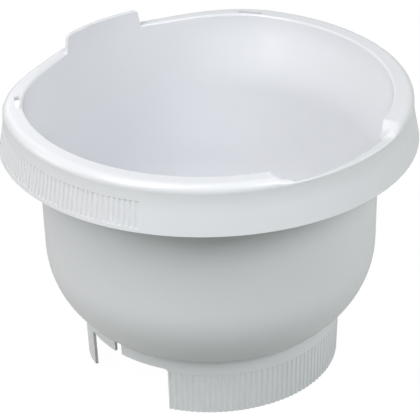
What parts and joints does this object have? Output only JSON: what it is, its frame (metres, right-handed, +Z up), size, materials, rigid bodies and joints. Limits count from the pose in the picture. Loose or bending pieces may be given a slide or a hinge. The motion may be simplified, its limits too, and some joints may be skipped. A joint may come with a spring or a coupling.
{
  "type": "stand mixer bowl",
  "caption": "Deep round plastic mixer bowl with a flanged collar, a pouring lip opposite a raised back wall, ribbed grips and a slotted base ring.",
  "frame": {"origin": "on the bowl's axis, at the level of the base ring's bottom, which the bowl stands on", "axes": "+Z up along the bowl's axis, +Y towards the raised back wall, so the pouring lip is at -Y and the ribbed grips are at -X and +X"},
  "size_m": [0.24, 0.226, 0.1809],
  "materials": {
    "white_plastic": "white moulded plastic, satin to glossy"
  },
  "bodies": {
    "root": {"bowl": "white_plastic"}
  },
  "joints": []
}
